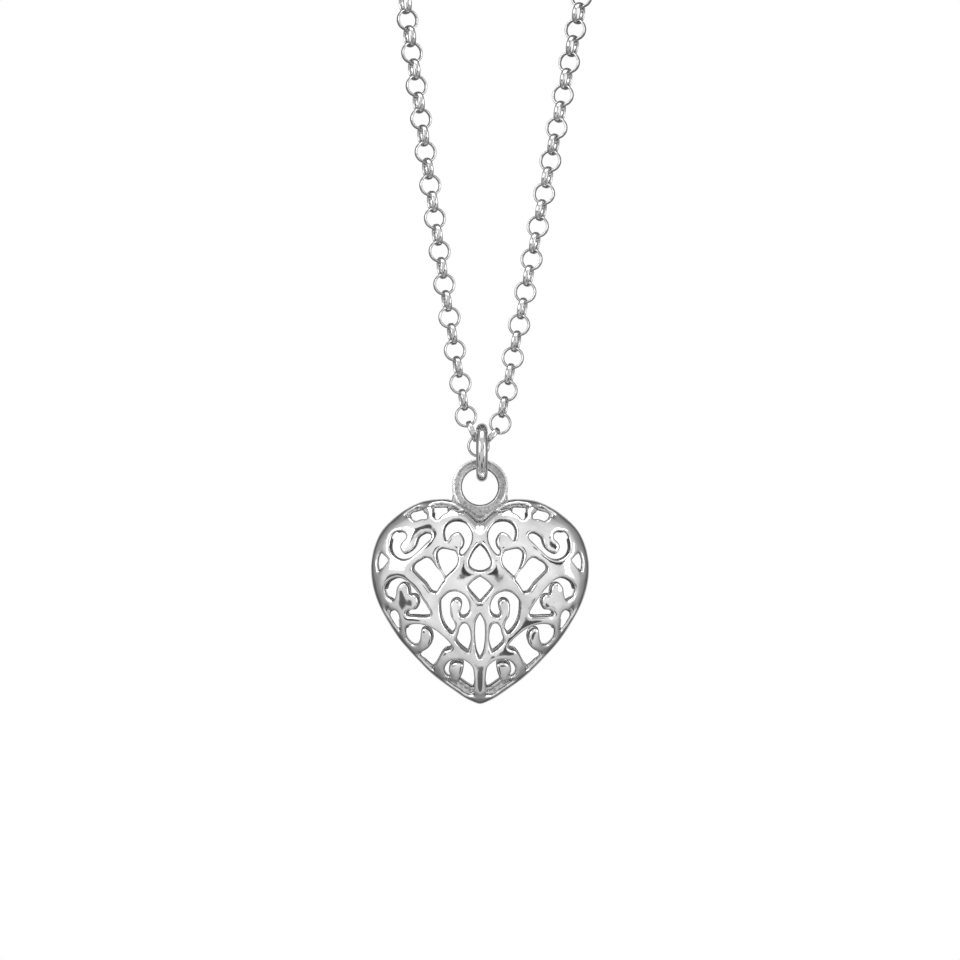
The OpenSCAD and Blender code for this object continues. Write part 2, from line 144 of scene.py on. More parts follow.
def curve(points, step=0.09, corner=58.0, soften=5):
    """A smooth closed line through given points. Sharp points stay corners, and are then softened a little."""
    p = np.array(points, float)
    n = len(p)
    tangent, sharp = [], []
    for i in range(n):
        a, b = p[i] - p[i - 1], p[(i + 1) % n] - p[i]
        la, lb = np.linalg.norm(a), np.linalg.norm(b)
        t = a / la * lb + b / lb * la
        tangent.append(t / max(np.linalg.norm(t), 1e-9))
        turn = math.degrees(abs(math.atan2(a[0] * b[1] - a[1] * b[0], float(a @ b))))
        sharp.append(turn > corner)
    out = []
    for i in range(n):
        j = (i + 1) % n
        d = p[j] - p[i]
        length = np.linalg.norm(d)
        m0 = d if sharp[i] else tangent[i] * length
        m1 = d if sharp[j] else tangent[j] * length
        k = max(3, int(length / 0.03))
        for t in np.arange(k) / k:
            out.append((2 * t**3 - 3 * t**2 + 1) * p[i] + (t**3 - 2 * t**2 + t) * m0
                       + (-2 * t**3 + 3 * t**2) * p[j] + (t**3 - t**2) * m1)
    q = resample(np.array(out), 0.055)
    for _ in range(soften):
        q = (np.roll(q, 1, 0) + 2 * q + np.roll(q, -1, 0)) / 4
    return resample(q, step)


def inside(pts, poly):
    """Even-odd test of many points against one closed line."""
    x, y = pts[:, 0], pts[:, 1]
    hit = np.zeros(len(pts), bool)
    for (x1, y1), (x2, y2) in zip(poly, np.roll(poly, -1, 0)):
        if y1 == y2:
            continue
        cross = (y1 > y) != (y2 > y)
        hit ^= cross & (x < (x2 - x1) * (y - y1) / (y2 - y1) + x1)
    return hit


def kd(points):
    tree = KDTree(len(points))
    for i, p in enumerate(points):
        tree.insert((p[0], p[1], p[2] if len(p) > 2 else 0.0), i)
    tree.balance()
    return tree


def mesh_region(rim, holes, rows, grid, extra=(), soft=()):
    """Triangles over the region inside rim and outside holes, with rows of points along every edge.
    soft loops only have to be followed by edges. Returns points and triangles."""
    loops = [rim] + list(holes)
    pts, edges = [], []
    for loop in loops + list(soft):
        base = len(pts)
        pts += [tuple(p) for p in loop]
        edges += [(base + i, base + (i + 1) % len(loop)) for i in range(len(loop))]
    line = np.array(pts)
    soft_tree = kd(np.vstack(soft)) if len(soft) else None
    tree = kd(line)
    hard_tree = kd(np.vstack(loops))
    kept = []
    cells = {}

    def crowded(p, gap):
        cx, cy = int(math.floor(p[0] / 0.2)), int(math.floor(p[1] / 0.2))
        for i in (cx - 1, cx, cx + 1):
            for j in (cy - 1, cy, cy + 1):
                for q in cells.get((i, j), ()):
                    if (p[0] - q[0]) ** 2 + (p[1] - q[1]) ** 2 < gap * gap:
                        return True
        return False

    def keep(p):
        cells.setdefault((int(math.floor(p[0] / 0.2)), int(math.floor(p[1] / 0.2))), []).append(p)
        kept.append(p)

    candidates = []
    for off in rows:
        for k, loop in enumerate(loops):
            d = np.roll(loop, -1, 0) - np.roll(loop, 1, 0)
            nrm = np.stack([-d[:, 1], d[:, 0]], 1) / np.linalg.norm(d, axis=1)[:, None]
            area = 0.5 * np.sum(loop[:, 0] * np.roll(loop[:, 1], -1) - np.roll(loop[:, 0], -1) * loop[:, 1])
            way = 1.0 if (area > 0) == (k == 0) else -1.0
            for p in loop + nrm * off * way:
                if soft_tree is not None and soft_tree.find((p[0], p[1], 0))[2] < 0.045:
                    continue
                if hard_tree.find((p[0], p[1], 0))[2] > off * 0.93 and not crowded(p, 0.055):
                    keep((float(p[0]), float(p[1])))
    for p in extra:
        if tree.find((p[0], p[1], 0))[2] > rows[-1] * 0.6 and not crowded(p, 0.1):
            candidates.append(p)
    lo, hi = line.min(0), line.max(0)
    j = 0
    y = lo[1]
    while y < hi[1]:
        x = -math.ceil(-lo[0] / grid) * grid + (grid / 2 if j % 2 else 0)
        while x < hi[0]:
            candidates.append((x, y))
            x += grid
        y += grid * 0.866
        j += 1
    for p in candidates:
        if tree.find((p[0], p[1], 0))[2] > rows[-1] * 1.05 and not crowded(p, grid * 0.55):
            keep((float(p[0]), float(p[1])))
    free = np.array(kept)
    ok = inside(free, rim)
    for h in holes:
        ok &= ~inside(free, h)
    every = pts + [tuple(p) for p in free[ok]]
    out = delaunay_2d_cdt([Vector(p) for p in every], edges, [], 0, 1e-6)
    v = np.array([(p.x, p.y) for p in out[0]])
    f = np.array([list(t) for t in out[2] if len(t) == 3])
    c = v[f].mean(axis=1)
    ok = inside(c, rim)
    for h in holes:
        ok &= ~inside(c, h)
    f = f[ok]
    a, b, d = v[f[:, 0]], v[f[:, 1]], v[f[:, 2]]
    turn = (b[:, 0] - a[:, 0]) * (d[:, 1] - a[:, 1]) - (b[:, 1] - a[:, 1]) * (d[:, 0] - a[:, 0])
    f[turn < 0] = f[turn < 0][:, ::-1]
    used = np.unique(f)
    renumber = -np.ones(len(v), int)
    renumber[used] = np.arange(len(used))
    return v[used], renumber[f]


def border(f):
    """Directed edges that only one triangle has."""
    e = {}
    for a, b, c in f.tolist():
        for p, q in ((a, b), (b, c), (c, a)):
            e[(p, q)] = True
    return [(p, q) for (p, q) in e if (q, p) not in e]


def line_distance(pts, loops3):
    """Distance of 3-D points to closed 3-D lines."""
    every, nxt, prv = [], [], []
    for loop in loops3:
        base, n = len(every), len(loop)
        every += list(loop)
        nxt += [base + (i + 1) % n for i in range(n)]
        prv += [base + (i - 1) % n for i in range(n)]
    every = np.array(every)
    tree = kd(every)
    near = np.array([tree.find(tuple(p))[1] for p in pts])
    best = np.full(len(pts), 1e9)
    for other in (np.array(nxt), np.array(prv)):
        a, b = every[near], every[other[near]]
        d = b - a
        t = np.clip(np.sum((pts - a) * d, 1) / np.maximum(np.sum(d * d, 1), 1e-12), 0, 1)
        best = np.minimum(best, np.linalg.norm(pts - a - d * t[:, None], axis=1))
    return best


# ------------------------------------------------------------------ materials
def nodes_of(mat):
    mat.use_nodes = True
    nt = mat.node_tree
    nt.nodes.clear()
    out = nt.nodes.new("ShaderNodeOutputMaterial")
    bsdf = nt.nodes.new("ShaderNodeBsdfPrincipled")
    nt.links.new(bsdf.outputs[0], out.inputs["Surface"])
    return nt, bsdf


def mix_colour(nt, fac, a, b):
    m = nt.nodes.new("ShaderNodeMix")
    m.data_type = "RGBA"
    for socket, value in ((m.inputs[0], fac), (m.inputs[6], a), (m.inputs[7], b)):
        if isinstance(value, bpy.types.NodeSocket):
            nt.links.new(value, socket)
        else:
            socket.default_value = value
    return m.outputs[2]


def ramp(nt, source, lo, hi, a, b):
    m = nt.nodes.new("ShaderNodeMapRange")
    nt.links.new(source, m.inputs["Value"])
    m.inputs["From Min"].default_value = lo
    m.inputs["From Max"].default_value = hi
    m.inputs["To Min"].default_value = a
    m.inputs["To Max"].default_value = b
    return m.outputs["Result"]


def noise_node(nt, coord, scale, detail=3.0, rough=0.5):
    n = nt.nodes.new("ShaderNodeTexNoise")
    n.inputs["Scale"].default_value = scale
    n.inputs["Detail"].default_value = detail
    n.inputs["Roughness"].default_value = rough
    nt.links.new(coord, n.inputs["Vector"])
    return n.outputs["Fac"]


def silver(name, bright, dark, rough, patina=0.0, peel=0.02, peel_scale=900.0, grain=0.0,
           grain_scale=5200.0, painted_shade=False):
    """Cast or drawn silver. bright and dark are its two tones, rough its lowest and highest roughness, peel and grain
    bump heights in mm. With the last flag set, a per-point attribute paints shade, darker and rougher, into walls,
    hollows and the inside face.
    """
    mat = bpy.data.materials.new(name)
    nt, bsdf = nodes_of(mat)
    tc = nt.nodes.new("ShaderNodeTexCoord")
    co = tc.outputs["Object"]
    tone = noise_node(nt, co, 420.0, 3.0)
    spots = noise_node(nt, co, 2600.0, 4.0, 0.6)
    colour = mix_colour(nt, ramp(nt, tone, 0.35, 0.7, 0.0, 1.0), (*bright, 1), (*[0.5 * (x + y) for x, y in zip(bright, dark)], 1))
    worn = ramp(nt, spots, 0.56, 0.72, 0.0, patina)
    colour = mix_colour(nt, worn, colour, (*dark, 1))
    roughness = ramp(nt, spots, 0.3, 0.75, rough[0], rough[1])
    # painted shade: the per-point attribute pulls the colour towards the dark tone and adds roughness in walls, hollows
    # and the inside face
    if painted_shade:
        at = nt.nodes.new("ShaderNodeAttribute")
        at.attribute_name = "painted_shade"
        painted_shade_fac = at.outputs["Fac"]
        colour = mix_colour(nt, ramp(nt, painted_shade_fac, 0.0, 1.0, 0.0, 0.75), colour, (*dark, 1))
        more = nt.nodes.new("ShaderNodeMath")
        more.operation = "ADD"
        nt.links.new(roughness, more.inputs[0])
        nt.links.new(ramp(nt, painted_shade_fac, 0.0, 1.0, 0.0, 0.2), more.inputs[1])
        roughness = more.outputs[0]
        # near-black flecks, shown only inside the painted shade
        pit = noise_node(nt, co, 3600.0, 4.0, 0.65)
        speck = nt.nodes.new("ShaderNodeMath")
        speck.operation = "MULTIPLY"
        nt.links.new(ramp(nt, pit, 0.5, 0.62, 0.0, 0.8), speck.inputs[0])
        nt.links.new(painted_shade_fac, speck.inputs[1])
        colour = mix_colour(nt, speck.outputs[0], colour, (0.07, 0.07, 0.07, 1))
    nt.links.new(colour, bsdf.inputs["Base Color"])
    nt.links.new(roughness, bsdf.inputs["Roughness"])
    bsdf.inputs["Metallic"].default_value = 1.0
    b1 = nt.nodes.new("ShaderNodeBump")
    b1.inputs["Strength"].default_value = 1.0
    b1.inputs["Distance"].default_value = peel * MM
    nt.links.new(noise_node(nt, co, peel_scale, 2.0), b1.inputs["Height"])
    last = b1
    if grain:
        b2 = nt.nodes.new("ShaderNodeBump")
        b2.inputs["Strength"].default_value = 1.0
        b2.inputs["Distance"].default_value = grain * MM
        nt.links.new(noise_node(nt, co, grain_scale, 4.0, 0.7), b2.inputs["Height"])
        nt.links.new(b1.outputs[0], b2.inputs["Normal"])
        last = b2
    nt.links.new(last.outputs[0], bsdf.inputs["Normal"])
    return mat


polished = silver("silver_polished", (0.92, 0.92, 0.92), (0.42, 0.42, 0.42), (0.05, 0.13), patina=0.12,
                  peel=0.02, peel_scale=700.0, painted_shade=True)
cast = silver("silver_cast_grain", (0.95, 0.95, 0.95), (0.2, 0.2, 0.2), (0.1, 0.34), patina=0.4,
              peel=0.03, peel_scale=1500.0, grain=0.035, grain_scale=4200.0, painted_shade=True)
wire = silver("silver_wire", (0.73, 0.73, 0.735), (0.40, 0.40, 0.405), (0.08, 0.2), patina=0.3,
              peel=0.006, peel_scale=2200.0)
clasp_silver = silver("silver_clasp", (0.82, 0.82, 0.825), (0.44, 0.44, 0.445), (0.06, 0.2), patina=0.25,
                      peel=0.008, peel_scale=1600.0)
steel = silver("spring_steel", (0.55, 0.55, 0.57), (0.25, 0.25, 0.27), (0.2, 0.35), patina=0.3,
               peel=0.003, peel_scale=4000.0)


# ------------------------------------------------------------------ putting a piece in
def piece(name, verts, faces, body, mat, nodes=(), painted_shade=None):
    me = bpy.data.meshes.new(name)
    me.from_pydata((np.asarray(verts, float) * MM).tolist(), [], faces)
    me.validate()
    me.update()
    me.shade_smooth()
    # per-point amount of painted shade, which the material turns into darker walls and hollows
    if painted_shade is not None:
        at = me.attributes.new("painted_shade", "FLOAT", "POINT")
        at.data.foreach_set("value", np.asarray(painted_shade, np.float32))
    me.materials.append(mat)
    ob = bpy.data.objects.new(name, me)
    scene.collection.objects.link(ob)
    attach(ob, body)
    if nodes:
        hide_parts(*nodes)
    return ob


# ------------------------------------------------------------------ the puffed heart
rim_line = curve(outline, 0.09, corner=70.0, soften=3)
polar = np.array([(math.atan2(p[1] - PUFF_C[1], p[0] - PUFF_C[0]), np.linalg.norm(p - PUFF_C))
                  for p in curve(outline, 0.03, corner=70.0, soften=3)])
polar = polar[np.argsort(polar[:, 0])]
TH = np.linspace(-math.pi, math.pi, 1441)
R_SHARP = np.interp(TH, np.concatenate([polar[:, 0] - 2 * math.pi, polar[:, 0], polar[:, 0] + 2 * math.pi]),
                    np.tile(polar[:, 1], 3))
_k = np.exp(-0.5 * (np.arange(-100, 101) / 28.0) ** 2)
_k /= _k.sum()
R_SOFT = np.convolve(np.concatenate([R_SHARP[-101:-1], R_SHARP, R_SHARP[1:101]]), _k, "valid")


def polar_of(p):
    d = p - PUFF_C
    rho = np.linalg.norm(d, axis=1)
    th = np.arctan2(d[:, 1], d[:, 0])
    return d, rho, th


def share(p):
    """How far out a point is: 0 at the middle, 1 at the rim. The heart's creases soften towards the middle."""
    d, rho, th = polar_of(p)
    sharp, soft = np.interp(th, TH, R_SHARP), np.interp(th, TH, R_SOFT)
    s0 = rho / sharp
    w = np.clip((1 - s0) / 0.5, 0, 1)
    w = w * w * (3 - 2 * w)
    return np.clip(rho / (sharp * (1 - w) + soft * w), 0, 1)


def spread(p):
    """From the flat pattern to a flat map that keeps room for the steep sides."""
    d, rho, th = polar_of(p)
    sharp = np.interp(th, TH, R_SHARP)
    s = np.clip(rho / sharp, 0, 1)
    g = np.arcsin(s**1.15) / (math.pi / 2)
    return PUFF_C + d / np.maximum(rho, 1e-9)[:, None] * (sharp * g)[:, None]


def unspread(p):
    d, rho, th = polar_of(p)
    sharp = np.interp(th, TH, R_SHARP)
    g = np.clip(rho / sharp, 0, 1)
    s = np.sin(g * math.pi / 2) ** (1 / 1.15)
    return PUFF_C + d / np.maximum(rho, 1e-9)[:, None] * (sharp * s)[:, None]


def dome(p):
    """Outer surface: height, true normal and the direction that the wall is thick in."""
    s = share(p)
    z = HALF_DEPTH * np.sqrt(np.maximum(0, 1 - s**2.3))
    e = 0.02
    gx = (share(p + [e, 0]) ** 2.3 - share(p - [e, 0]) ** 2.3) / (2 * e)
    gy = (share(p + [0, e]) ** 2.3 - share(p - [0, e]) ** 2.3) / (2 * e)
    rimward = s > 0.996
    d, rho, th = polar_of(p)
    radial = d / np.maximum(rho, 1e-9)[:, None]
    n = np.stack([gx, gy, 2 * z / HALF_DEPTH**2], 1)
    # at the very rim the one-sided difference halves, and only its direction matters
    n[rimward, 2] *= 0.5
    n /= np.linalg.norm(n, axis=1)[:, None]
    flat = np.sqrt(np.maximum(0, 1 - n[:, 2] ** 2))
    thick = np.stack([radial[:, 0] * flat, radial[:, 1] * flat, n[:, 2]], 1)
    return z, n, thick


R_EDGE, R_BACK, PILLOW = 0.2, 0.12, 0.1
flat_holes = []
for h in half_holes:
    c = curve(h)
    flat_holes += [c, np.stack([-c[::-1, 0], c[::-1, 1]], 1)]
flat_holes += [curve(teardrop), curve(kite), curve(lens)]
map_rim = spread(rim_line)
map_holes = [spread(h) for h in flat_holes]
flat_ledges = []
for h in half_ledges:
    c = curve(h, 0.07, corner=50.0, soften=3)
    flat_ledges += [c, np.stack([-c[::-1, 0], c[::-1, 1]], 1)]


def inset(loop, d):
    t = np.roll(loop, -1, 0) - np.roll(loop, 1, 0)
    n = np.stack([-t[:, 1], t[:, 0]], 1) / np.linalg.norm(t, axis=1)[:, None]
    area = np.sum(loop[:, 0] * np.roll(loop[:, 1], -1) - np.roll(loop[:, 0], -1) * loop[:, 1])
    return loop + n * (d if area > 0 else -d)


map_ledges = [spread(h) for h in flat_ledges]
map_ledges_in = [inset(h, 0.03) for h in map_ledges]
map_ledges_mid = [inset(h, 0.015) for h in map_ledges]
spine = [(0.0, y) for y in np.arange(-10.2, 8.2, 0.2)]
mp, mf = mesh_region(map_rim, map_holes, (0.05, 0.12, 0.21, 0.34), 0.3, extra=spine, soft=map_ledges + map_ledges_in)
on_ledge = np.zeros(len(mp), bool)
for h in map_ledges_mid:
    on_ledge |= inside(mp, h)
flat = unspread(mp)
z, nrm, thick = dome(flat)
outer = np.column_stack([flat, z])
hole_lines = []
for h in flat_holes:
    hz = dome(h)[0]
    hole_lines.append(np.column_stack([h, hz]))
dist = line_distance(outer, hole_lines)


def roll(d, r):
    """How far a rounded edge of radius r drops at distance d from it."""
    q = np.clip(r - d, 0, r)
    return r - np.sqrt(np.maximum(r * r - q * q, 0))


ledge_dist = line_distance(outer, [np.column_stack([h, dome(h)[0]]) for h in flat_ledges])
drop = roll(dist, R_EDGE) + PILLOW * np.exp(-dist / 0.32) + roll(ledge_dist, 0.09)
seam = np.clip(1 - z / 0.16, 0, 1) ** 2 * 0.07
top = outer - nrm * (drop + seam)[:, None]
ripple = np.array([noise.noise(Vector((p[0] * 0.9, p[1] * 0.9, p[2] * 0.9))) for p in outer])
top += nrm * (ripple * 0.03 * np.clip((dist - 0.05) / 0.4, 0, 1) * np.clip(z / 0.6, 0, 1))[:, None]
low = outer - thick * (WALL - roll(dist, R_BACK))[:, None]
low[:, 2] = np.maximum(low[:, 2], 0)
top[:, 2] = np.maximum(top[:, 2], 0)
# the flange round the inside of the rim, and the ledges that the pockets leave on it
to_rim = line_distance(np.column_stack([flat, np.zeros(len(flat))]), [np.column_stack([rim_line, np.zeros(len(rim_line))])])
on_flange = to_rim < FLANGE
low[on_flange, :2] = outer[on_flange, :2]
low[on_flange, 2] = 0
rough = np.array([noise.fractal(Vector((p[0] * 3.5, p[1] * 3.5, 7.0)), 0.9, 2.1, 3) for p in flat])
floor_z = LEDGE_TOP + 0.05 * rough - 0.1 * np.clip(1 - dist / 0.12, 0, 1)
cut = on_ledge & (top[:, 2] > floor_z)
top[cut, :2] = outer[cut, :2]
top[cut, 2] = np.maximum(floor_z[cut], low[cut, 2] + 0.06)
count = len(outer)
shell_faces = [tuple(t) for t in mf.tolist()] + [(a + count, c + count, b + count) for a, b, c in mf.tolist()]
# walls, with one row half way down; the walls get painted shade
edge = border(mf)
mid_of = {}
mid_points, wall_painted_shade = [], []
for a, b in edge:
    if a not in mid_of:
        mid_of[a] = 2 * count + len(mid_points)
        mid_points.append(0.5 * (top[a] + low[a]))
        wall_painted_shade.append(0.75)
for a, b in edge:
    ma, mb = mid_of[a], mid_of.get(b)
    shell_faces.append((b, a, ma, mb))
    shell_faces.append((mb, ma, a + count, b + count))
shell_pts = np.vstack([top, low, np.array(mid_points)])
# painted shade: 0.7 on pocket floors, up to 0.45 near the openings' edges on the face, 0.8 on the inside face, 0.75 on
# the walls' middle row
shell_painted_shade = np.concatenate([np.where(cut, 0.7, np.clip(0.45 - dist / 0.18, 0, 0.45)), np.full(count, 0.8), wall_painted_shade])


def shell_piece(name, side, node):
    v = np.column_stack([HEART_X + shell_pts[:, 0], side * shell_pts[:, 2], HEART_Z + shell_pts[:, 1]])
    f = shell_faces if side < 0 else [t[::-1] for t in shell_faces]
    return piece(name, v, f, "pendant", polished, (node,), shell_painted_shade)


shell_piece("heart_front_half", -1, "front_shell")
shell_piece("heart_back_half", 1, "back_shell")

# ------------------------------------------------------------------ the cast loop in the notch
arc = [(LOOP_RO * math.cos(math.radians(a)), LOOP_V + LOOP_RO * math.sin(math.radians(a))) for a in range(-14, 195, 8)]
web = [(-2.75, 10.3), (-2.8, 9.95), (-2.1, 9.62), (-1.4, 9.2), (-0.7, 8.7), (0, 8.25),
       (0.7, 8.7), (1.4, 9.2), (2.1, 9.62), (2.8, 9.95), (2.75, 10.3)]
loop_rim = curve(arc + web, 0.09, corner=75.0, soften=3)
loop_eye = np.array([(LOOP_RI * math.cos(a), LOOP_V + LOOP_RI * math.sin(a))
                     for a in np.linspace(0, -2 * math.pi, 126, endpoint=False)])
lp, lf = mesh_region(loop_rim, [loop_eye], (0.03, 0.07, 0.13, 0.2, 0.27), 0.11)
from_eye = np.linalg.norm(lp - [0, LOOP_V], axis=1) - LOOP_RI
from_out = LOOP_RO - np.linalg.norm(lp - [0, LOOP_V], axis=1)
rim_gap = line_distance(np.column_stack([lp, np.zeros(len(lp))]),
                        [np.column_stack([loop_rim, np.zeros(len(loop_rim))])])


def step_off(d, flat_to, gone_at):
    t = np.clip((d - flat_to) / (gone_at - flat_to), 0, 1)
    return 1 - t * t * (3 - 2 * t)


in_ring = np.clip(1 - (LOOP_V - 1.6 - lp[:, 1]) / 0.8, 0, 1)
raised = np.maximum(step_off(from_eye, 0.16, 0.26), step_off(np.where(from_out > -0.02, from_out, 9), 0.16, 0.28) * in_ring)
pits = np.array([noise.fractal(Vector((p[0] * 4.2, p[1] * 4.2, 3.0)), 0.9, 2.1, 3) for p in lp])
height = LOOP_DEPTH / 2 - 0.14 + 0.12 * raised + (1 - raised) * pits * 0.045
edge_gap = np.minimum(from_eye, rim_gap)
height -= np.maximum(roll(np.maximum(edge_gap, 0), 0.11), 1.8 * np.clip(0.22 - from_eye, 0, 0.22))
n_loop = len(lp)
loop_pts = np.vstack([np.column_stack([lp, height]), np.column_stack([lp, -height])])
loop_faces = [tuple(t) for t in lf.tolist()] + [(a + n_loop, c + n_loop, b + n_loop) for a, b, c in lf.tolist()]
loop_mid, mids = {}, []
loop_edge = border(lf)
for a, b in loop_edge:
    for k, t in enumerate((0.6, 0.2, -0.2, -0.6)):
        loop_mid[(a, k)] = 2 * n_loop + len(mids)
        mids.append((lp[a][0], lp[a][1], height[a] * t))
for a, b in loop_edge:
    ca = [a] + [loop_mid[(a, k)] for k in range(4)] + [a + n_loop]
    cb = [b] + [loop_mid[(b, k)] for k in range(4)] + [b + n_loop]
    for k in range(5):
        loop_faces.append((cb[k], ca[k], ca[k + 1], cb[k + 1]))
loop_pts = np.vstack([loop_pts, np.array(mids)])
# painted shade: the sunken field between the raised bands up to 0.6, the side walls 0.25
loop_painted_shade = np.concatenate([np.tile(0.6 * (1 - raised), 2), np.full(len(mids), 0.25)])
piece("loop_casting", np.column_stack([HEART_X + loop_pts[:, 0], -loop_pts[:, 2], HEART_Z + loop_pts[:, 1]]),
      loop_faces, "pendant", cast, ("hanging_loop",), loop_painted_shade)


# ------------------------------------------------------------------ rings, links and the clasp
def ring_mesh(section, big, nu, wobble=None, start=0.0, stop=2 * math.pi):
    """A ring round Z. section is points (radial, axial) about the centreline of radius big."""
    closed = abs(stop - start - 2 * math.pi) < 1e-6
    rows = nu if closed else nu + 1
    v, m = [], len(section)
    for i in range(rows):
        a = start + (stop - start) * i / nu
        for k, (r, h) in enumerate(section):
            q = 1.0 if wobble is None else wobble(a, k)
            v.append(((big + r * q) * math.cos(a), (big + r * q) * math.sin(a), h * q))
    f = []
    for i in range(nu):
        j = (i + 1) % rows if closed else i + 1
        for k in range(m):
            n = (k + 1) % m
            f.append((i * m + k, j * m + k, j * m + n, i * m + n))
    if not closed:
        f.append(tuple(reversed(range(m))))
        f.append(tuple(nu * m + k for k in range(m)))
    return np.array(v), f


def flip_out(v, f):
    """Turns the faces so that the volume is positive."""
    vol = 0.0
    for t in f:
        for k in range(1, len(t) - 1):
            a, b, c = v[t[0]], v[t[k]], v[t[k + 1]]
            vol += float(np.dot(a, np.cross(b, c)))
    return f if vol > 0 else [tuple(reversed(t)) for t in f]


def moved(v, m):
    return np.asarray(v) @ np.array(m.to_3x3()).T + np.array(m.translation)


def rot(axis, degrees):
    return Matrix.Rotation(math.radians(degrees), 4, axis)


def move(x, y, z):
    return Matrix.Translation((x, y, z))


def join(parts):
    v, f, base = [], [], 0
    for pv, pf in parts:
        v.append(np.asarray(pv))
        f += [tuple(i + base for i in t) for t in pf]
        base += len(pv)
    return np.vstack(v), f


def round_section(r, n):
    return [(r * math.cos(2 * math.pi * k / n), r * math.sin(2 * math.pi * k / n)) for k in range(n)]


def oval_section(a, b, n, power):
    out = []
    for k in range(n):
        t = 2 * math.pi * k / n
        c, s = math.cos(t), math.sin(t)
        out.append((a * math.copysign(abs(c) ** (2 / power), c), b * math.copysign(abs(s) ** (2 / power), s)))
    return out


link_v, link_f = ring_mesh(oval_section(LINK_T / 2, LINK_W / 2, 16, 2.15), LINK_OD / 2 - LINK_T / 2, 44)
link_f = flip_out(link_v, link_f)


def put_link(p, a, w):
    m = move(p[0], 0, p[1]) @ rot("Y", -a) @ rot("X", w) @ rot("X", 90)
    return moved(link_v, m), link_f


left_low = np.array([-2.75, -44.63])
left_path = [left_low] + [np.array(p) for p in ((-4.69, -33), (-6.82, -18), (-9.1, -1.24))]
right_low = np.array([0.69, -45.34])
right_path = [right_low, np.array([9.01, -1.72])]
centre = np.array([-1.49, -47.62])


def along(path, s):
    for i in range(len(path) - 1):
        d = path[i + 1] - path[i]
        n = np.linalg.norm(d)
        if s <= n or i == len(path) - 2:
            return path[i] + d * s / n, d
        s -= n


def angle_of(d):
    return math.degrees(math.atan2(d[1], d[0]))


def turn(i):
    return 8 + i * 0.6


def strand(path, first, last, hand):
    out = []
    for i in range(first, last + 1):
        q, d = along(path, i * PITCH)
        out.append(put_link(q, angle_of(d), hand * turn(i) + (0 if i % 2 == 0 else 90)))
    return out


def arch(start, hand, last, first):
    out = []
    for k in range(last + 1):
        a = start + hand * k * 2 * math.degrees(math.asin(ARCH_PITCH / 2 / ARCH_R))
        p = (ARCH_R * math.cos(math.radians(a)), ARCH_R * math.sin(math.radians(a)))
        out.append(put_link(p, a + hand * 90, -hand * turn(26) + (0 if (first + k) % 2 == 0 else 90)))
    return out


def links(name, parts, body, node):
    v, f = join(parts)
    return piece(name, v, f, body, wire, (node,))


links("links_left_lower", strand(left_path, 0, 8, 1), "chain_lower", "left_chain_lower")
links("links_right_lower", strand(right_path, 0, 8, -1), "chain_lower", "right_chain_lower")
links("links_left_middle", strand(left_path, 9, 17, 1), "chain_middle", "left_chain_middle")
links("links_right_middle", strand(right_path, 9, 17, -1), "chain_middle", "right_chain_middle")
links("links_left_upper", strand(left_path, 18, 25, 1), "chain_upper", "left_chain_upper")
links("links_right_upper", strand(right_path, 18, 25, -1), "chain_upper", "right_chain_upper")
links("links_left_end", strand(left_path, 26, 26, 1) + arch(180.2, -1, 5, 27), "chain_top", "left_chain_end")
links("links_right_end", strand(right_path, 26, 26, -1) + arch(-6.7, 1, 6, 27), "chain_top", "right_chain_end")
links("link_centre", [put_link(centre, 0, 0)], "chain_lower", "centre_link")
links("link_left_hub", [put_link((centre + left_low) / 2, angle_of(left_low - centre), 90)], "chain_lower", "left_hub_link")
links("link_right_hub", [put_link((-0.22, -46.66), angle_of(right_low - centre), 90)], "chain_lower", "right_hub_link")


def seam_at(where, width, depth):
    """A faint soldered seam across a round wire."""
    def wob(a, k):
        d = (a - where + math.pi) % (2 * math.pi) - math.pi
        return 1 - depth * math.exp(-(d / width) ** 2)
    return wob


def wire_ring(name, big, small, m, body, node, mat=wire, nu=112, where=0.6):
    v, f = ring_mesh(round_section(small, 28), big, nu, seam_at(where, 0.03, 0.05))
    v = moved(v, m)
    return piece(name, v, flip_out(v, f), body, mat, (node,))


wire_ring("ring_heavy", RING_OD / 2 - RING_WIRE / 2, RING_WIRE / 2, move(RING_X, 0, RING_Z) @ rot("Y", 90), "ring", "jump_ring",
          nu=144, where=1.2)
wire_ring("ring_left_end", 1.2, 0.25, move(-4.345, 0, 8.204) @ rot("Y", -36.8), "chain_top", "left_end_ring", nu=80)
wire_ring("ring_right_end", 1.8, 0.3, move(3.16, 0, 8.62) @ rot("X", 90), "chain_top", "right_end_ring", nu=96, where=3.9)

# clasp body: a tube with a mouth, a bore at each lip and a slot for the trigger
MOUTH_A, MOUTH_B, SLOT_A, SLOT_B, BORE = -35.0, 10.0, 21.0, 86.0, 0.8
at_clasp = move(CLASP_X, 0, CLASP_Z)


